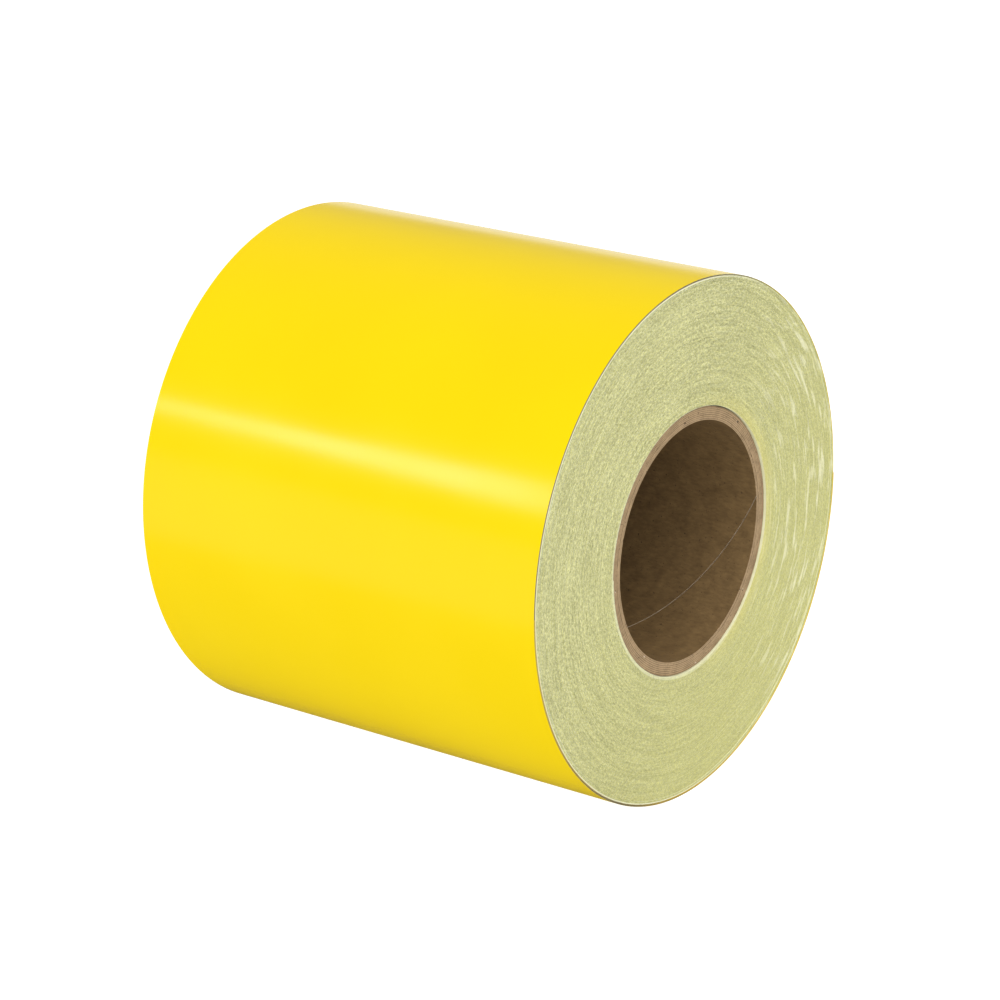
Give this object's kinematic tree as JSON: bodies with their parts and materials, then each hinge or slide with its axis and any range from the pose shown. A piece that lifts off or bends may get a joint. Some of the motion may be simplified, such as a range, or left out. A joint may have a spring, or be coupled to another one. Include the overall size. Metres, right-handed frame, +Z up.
{
  "type": "roll of sign vinyl",
  "caption": "Roll of yellow adhesive-backed sign vinyl on a release liner, wound face out on a paperboard core, with a free end that lifts off and lies flat.",
  "frame": {"origin": "centre of the core's bore, halfway along it, so also halfway along the roll", "axes": "+Y along the roll's axis, +Z up as the roll lies on its side, +X to the side on which the free end of the web comes up"},
  "size_m": [0.1689, 0.1524, 0.1686],
  "materials": {
    "core_board": "grey-brown kraft board, matt, with a fibrous cut end",
    "core_lining": "smooth brown kraft lining, matt, with a helical seam",
    "film": "glossy bright yellow calendered film",
    "liner": "pale coated release paper",
    "tape": "matt off-white paper tape, finely creped"
  },
  "bodies": {
    "roll": {"core_inner_ply": "core_lining", "core_body_ply_1": "core_board", "core_body_ply_2": "core_board", "core_body_ply_3": "core_board", "core_body_ply_4": "core_board", "core_body_ply_5": "core_board", "core_body_ply_6": "core_board", "core_outer_ply": "core_board", "starter_tape": "tape", "wound_film": "film", "wound_liner": "liner"},
    "tail_1": {"tail_film_1": "film", "tail_liner_1": "liner"},
    "tail_2": {"tail_film_2": "film", "tail_liner_2": "liner"},
    "tail_3": {"tail_film_3": "film", "tail_liner_3": "liner"},
    "tail_4": {"tail_film_4": "film", "tail_liner_4": "liner"},
    "tail_5": {"tail_film_5": "film", "tail_liner_5": "liner"},
    "tail_6": {"tail_film_6": "film", "tail_liner_6": "liner"},
    "tail_7": {"tail_film_7": "film", "tail_liner_7": "liner", "end_tape": "tape"}
  },
  "joints": [
    {"name": "tail_lift", "type": "hinge", "parent": "roll", "child": "tail_1", "pos_m": [0.00891, 0, -0.08392], "axis": [0, 1, 0], "range_deg": [0, 12]},
    {"name": "tail_straighten_1", "type": "hinge", "parent": "tail_1", "child": "tail_2", "pos_m": [0.02616, 0, -0.08025], "axis": [0, 1, 0], "range_deg": [0, 12]},
    {"name": "tail_straighten_2", "type": "hinge", "parent": "tail_2", "child": "tail_3", "pos_m": [0.04228, 0, -0.07308], "axis": [0, 1, 0], "range_deg": [0, 12]},
    {"name": "tail_straighten_3", "type": "hinge", "parent": "tail_3", "child": "tail_4", "pos_m": [0.05655, 0, -0.06271], "axis": [0, 1, 0], "range_deg": [0, 12]},
    {"name": "tail_straighten_4", "type": "hinge", "parent": "tail_4", "child": "tail_5", "pos_m": [0.06835, 0, -0.0496], "axis": [0, 1, 0], "range_deg": [0, 12]},
    {"name": "tail_straighten_5", "type": "hinge", "parent": "tail_5", "child": "tail_6", "pos_m": [0.07717, 0, -0.03432], "axis": [0, 1, 0], "range_deg": [0, 12]},
    {"name": "tail_straighten_6", "type": "hinge", "parent": "tail_6", "child": "tail_7", "pos_m": [0.08263, 0, -0.01754], "axis": [0, 1, 0], "range_deg": [0, 12]}
  ],
  "couplings": [
    {"joint": "tail_straighten_1", "follows": "tail_lift", "ratio": 1},
    {"joint": "tail_straighten_2", "follows": "tail_lift", "ratio": 1},
    {"joint": "tail_straighten_3", "follows": "tail_lift", "ratio": 1},
    {"joint": "tail_straighten_4", "follows": "tail_lift", "ratio": 1},
    {"joint": "tail_straighten_5", "follows": "tail_lift", "ratio": 1},
    {"joint": "tail_straighten_6", "follows": "tail_lift", "ratio": 1}
  ]
}
